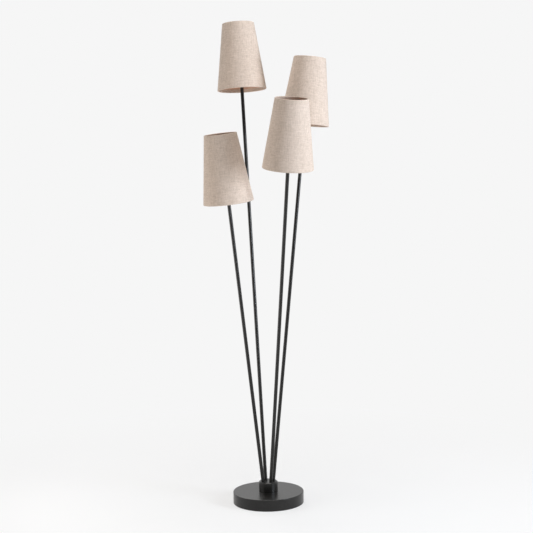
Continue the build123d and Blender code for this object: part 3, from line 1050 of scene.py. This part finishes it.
def make_shade(arm, rim, number):
    """Linen cone with turned-in edges and a glued seam at the back."""
    outline = shade_outline()
    width = seam_width / (shade_bottom_radius + shade_top_radius) * 2
    ramp = 0.4 * width
    segments = 256
    turns = [tau * k / segments for k in range(segments)]
    seam_edge = seam_turn + width
    turns = sorted([*turns, seam_edge, seam_edge + seam_step_turn])

    def lifted(turn):
        """Height of the seam's upper layer: it rises over the lower one and ends in a step."""
        past = (turn - seam_turn + pi) % tau - pi
        if past < -ramp or past > width + seam_step_turn / 2:
            return 0.0
        share = min(1.0, (past + ramp) / ramp)
        return seam_lift * share * share * (3 - 2 * share)

    rings = []
    for turn in turns:
        ring = []
        for point, _, is_linen in outline:
            at = Vector((cos(turn) * 2.6, sin(turn) * 2.6, point.y / 38 + 7 * number))
            swell = linen_swell * noise.noise(at)
            radius = point.x + swell + (lifted(turn) if is_linen else 0.0)
            ring.append(Vector((radius * cos(turn), radius * sin(turn), point.y)))
        rings.append(ring)
    closed_turns = turns + [turns[0] + tau]

    def flat(a, b):
        """Place of a corner on the flat cut, whose two straight edges meet at the seam."""
        reach = outline[b % len(outline)][1]
        bend = ((closed_turns[a] - seam_turn) % tau - pi) * sin(slope)
        if a and abs(bend + pi * sin(slope)) < 1e-6:
            bend = pi * sin(slope)
        along_bolt, across_bolt = 0.61 * number, 0.37 * number  # each shade from its own stretch
        return (reach * sin(bend) * MM + along_bolt, reach * cos(bend) * MM + across_bolt)

    shape = Shape()
    shape.grid(
        rings,
        flat,
        ink=lambda i: 0 if outline[i][2] or outline[(i + 1) % len(outline)][2] else 1,
    )
    piece = place_piece(
        f"linen_shade_{arm}", shape, rim, [LINEN, BACKING], f"{arm}_shade", f"shade_{arm}"
    )


# ---- Everything in its place ------------------------------------------------------------------


def arm_frame(arm):
    """Frames at the foot of an arm and at the lower rim of its shade, and the reach between."""
    joint = next(j for j in frame["joints"] if j["name"] == f"{arm}_shade_turn")
    along = Vector(joint["axis"]).normalized()
    rim = Vector(joint["pos_m"]) - along * fitter_middle * MM
    reach = (rim.z - hub_top * MM) / along.z
    across = Vector((0, 1, 0)).cross(along).normalized()
    turned = Matrix((across, along.cross(across), along)).transposed().to_4x4()
    foot = Matrix.Translation(rim - along * reach) @ turned
    return foot, Matrix.Translation(rim) @ turned, reach / MM


arm_frames = {arm: arm_frame(arm) for arm in ARMS}
make_base_shell()
make_hub([foot for foot, _, _ in arm_frames.values()])
make_pad()
make_bush()
for number, arm in enumerate(ARMS):
    foot, rim, reach = arm_frames[arm]
    make_rod(arm, foot, reach)
    make_holder(arm, rim)
    make_bulb(arm, rim)
    make_frame(arm, rim)
    make_shade(arm, rim, number)

# Pieces whose solids are right as they are get their finish
for node, material in (
    ("base_weight", IRON),
    ("base_plate", ZINC),
    ("plate_screws", ZINC),
    ("hub_screws", ZINC),
    ("terminal_block", WHITE_PLASTIC),
    *((f"flex_{arm}", SHEATH) for arm in ARMS),
    *((f"holder_core_{arm}", CERAMIC) for arm in ARMS),
    *((f"contacts_{arm}", BRASS) for arm in ARMS),
):
    mesh = frame["nodes"][node].data
    mesh.materials.clear()
    mesh.materials.append(material)

# ---- Stage, light and camera ------------------------------------------------------------------

backdrop_tone = 0.9216
floor_drop = 0.0003  # metres below the felt, so that the two don't share a plane
floor_rings = 15
floor_first = 120.0  # radius of the first ring
floor_growth = 1.35  # of each ring on the last
ambient_level = 0.12
room_level = 0.2  # how bright the room in front of the lamp is in reflections


def seen_by_camera(nodes, links):
    """Output that is 1 for camera, glossy and transmission rays and 0 for the others."""
    rays = nodes.new("ShaderNodeLightPath")
    last = rays.outputs["Is Camera Ray"]
    for name in ("Is Glossy Ray", "Is Transmission Ray"):
        either = nodes.new("ShaderNodeMath")
        either.operation = "MAXIMUM"
        links.new(last, either.inputs[0])
        links.new(rays.outputs[name], either.inputs[1])
        last = either.outputs[0]
    return last


def make_floor():
    """Pale floor that keeps the lamp's shadow and runs out into the backdrop's own tone."""
    f = Finish("pale_floor")
    at = f.where()
    distance = f.node("VectorMath", {0: at}, operation="LENGTH").outputs["Value"]
    fade = f.span(distance, 0.55, 1.0, 0.35, 1.5)
    seen = seen_by_camera(f.nodes, f.links)
    tone = f.ramp(f.noise(at, 3.0), (0.3, (0.775, 0.775, 0.775)), (0.7, (0.79, 0.79, 0.79)))
    f.shade(base_color=tone, roughness=0.9, specular_ior_level=0.1)
    glow = f.node("Emission", {"Strength": f.span(distance, 1.0, backdrop_tone, 0.4, 1.5)})
    share = f.math("MULTIPLY", seen, fade)
    both = f.node("MixShader", {0: share, 1: f.shader.outputs[0], 2: glow.outputs[0]})
    below = f.node("NewGeometry", {}).outputs["Backfacing"]
    clear = f.node("BsdfTransparent", {}).outputs[0]
    one_sided = f.node("MixShader", {0: below, 1: both.outputs[0], 2: clear})
    f.links.new(one_sided.outputs[0], f.nodes["Material Output"].inputs["Surface"])
    shape = Shape()
    radii = [0.0, *(floor_first * floor_growth**k for k in range(floor_rings))]
    shape.lathe([Vector((radius, 0)) for radius in radii], closed=False)
    mesh = shape.mesh("floor", Matrix.Translation((0, 0, -floor_drop)))
    if mesh.polygons[0].normal.z < 0:
        mesh.flip_normals()
    floor = add_object("floor", mesh, [f.material])


def make_world():
    """Even soft light from all round, the backdrop's tone behind, and a dim room to reflect."""
    world = bpy.data.worlds.new("studio")
    world.use_nodes = True
    bpy.context.scene.world = world
    nodes, links = world.node_tree.nodes, world.node_tree.links
    nodes.clear()
    around = nodes.new("ShaderNodeTexCoord")
    split = nodes.new("ShaderNodeSeparateXYZ")
    links.new(around.outputs["Generated"], split.inputs[0])
    room = nodes.new("ShaderNodeMapRange")
    links.new(split.outputs["Y"], room.inputs["Value"])
    for name, value in (("From Min", -0.6), ("From Max", 0.15), ("To Min", room_level)):
        room.inputs[name].default_value = value
    rays = nodes.new("ShaderNodeLightPath")
    level = room.outputs[0]
    for name in ("Is Camera Ray", "Is Transmission Ray"):
        either = nodes.new("ShaderNodeMath")
        either.operation = "MAXIMUM"
        links.new(level, either.inputs[0])
        links.new(rays.outputs[name], either.inputs[1])
        level = either.outputs[0]
    ambient = nodes.new("ShaderNodeBackground")
    ambient.inputs["Color"].default_value = (1.0, 0.965, 0.93, 1)
    ambient.inputs["Strength"].default_value = ambient_level
    backdrop = nodes.new("ShaderNodeBackground")
    backdrop.inputs["Color"].default_value = (backdrop_tone, backdrop_tone, backdrop_tone, 1)
    links.new(level, backdrop.inputs["Strength"])
    mix = nodes.new("ShaderNodeMixShader")
    links.new(seen_by_camera(nodes, links), mix.inputs[0])
    links.new(ambient.outputs[0], mix.inputs[1])
    links.new(backdrop.outputs[0], mix.inputs[2])
    output = nodes.new("ShaderNodeOutputWorld")
    links.new(mix.outputs[0], output.inputs["Surface"])


def add_lamp(name, towards, distance, width, height, level, colour, target=(0, 0, 1.1)):
    """Soft box that adds a level of light, as a share of white, to a surface that faces it."""
    data = bpy.data.lights.new(name, "AREA")
    data.shape = "RECTANGLE"
    data.size = width
    data.size_y = height
    data.energy = level * pi * pi * distance**2
    data.color = colour
    lamp = bpy.data.objects.new(name, data)
    bpy.context.scene.collection.objects.link(lamp)
    direction = Vector(towards).normalized()
    lamp.location = Vector(target) + direction * distance
    lamp.rotation_mode = "QUATERNION"
    lamp.rotation_quaternion = direction.to_track_quat("Z", "Y")


def make_camera():
    """Camera fitted to the photograph: level and distance from the rims, the base and the rods."""
    data = bpy.data.cameras.new("camera")
    data.sensor_width = 36.0
    data.lens = camera_lens
    data.clip_start = 0.1
    data.clip_end = 100.0
    camera = bpy.data.objects.new("camera", data)
    bpy.context.scene.collection.objects.link(camera)
    yaw, pitch, roll = camera_yaw, camera_pitch, camera_roll
    ahead = Vector((sin(yaw) * cos(pitch), cos(yaw) * cos(pitch), -sin(pitch)))
    level = Vector((cos(yaw), -sin(yaw), 0))
    up = level.cross(ahead)
    right = level * cos(roll) + up * sin(roll)
    top = up * cos(roll) - level * sin(roll)
    turned = Matrix((right, top, -ahead)).transposed().to_4x4()
    camera.matrix_world = Matrix.Translation((0, -camera_distance, camera_height)) @ turned
    bpy.context.scene.camera = camera


camera_lens = 90.08
camera_distance = 4.5024
camera_height = 1.3116
camera_yaw = radians(0.0692)
camera_pitch = radians(6.2354)
camera_roll = radians(-0.8981)
key_side = radians(-28)
key_rise = radians(4)
key_direction = (cos(key_side) * cos(key_rise), sin(key_side) * cos(key_rise), sin(key_rise))

bpy.context.scene.view_settings.view_transform = "Standard"
make_floor()
make_world()
add_lamp(
    "key",
    key_direction,
    distance=3.0,
    width=0.95,
    height=1.15,
    level=0.98,
    colour=(0.83, 0.9, 0.99),
)
add_lamp(
    "top",
    (0, -0.15, 1),
    distance=5.0,
    width=3.0,
    height=3.0,
    level=0.55,
    colour=(1.0, 0.98, 0.96),
    target=(0, 0, 0),
)
add_lamp(
    "back",
    (-0.35, 0.85, 0.5),
    distance=3.5,
    width=1.6,
    height=1.6,
    level=0.3,
    colour=(1.0, 0.98, 0.96),
)
add_lamp(
    "fill",
    (-0.9, -0.2, -0.38),
    distance=1.35,
    width=0.9,
    height=0.9,
    level=0.42,
    colour=(1.0, 0.97, 0.93),
)
make_camera()
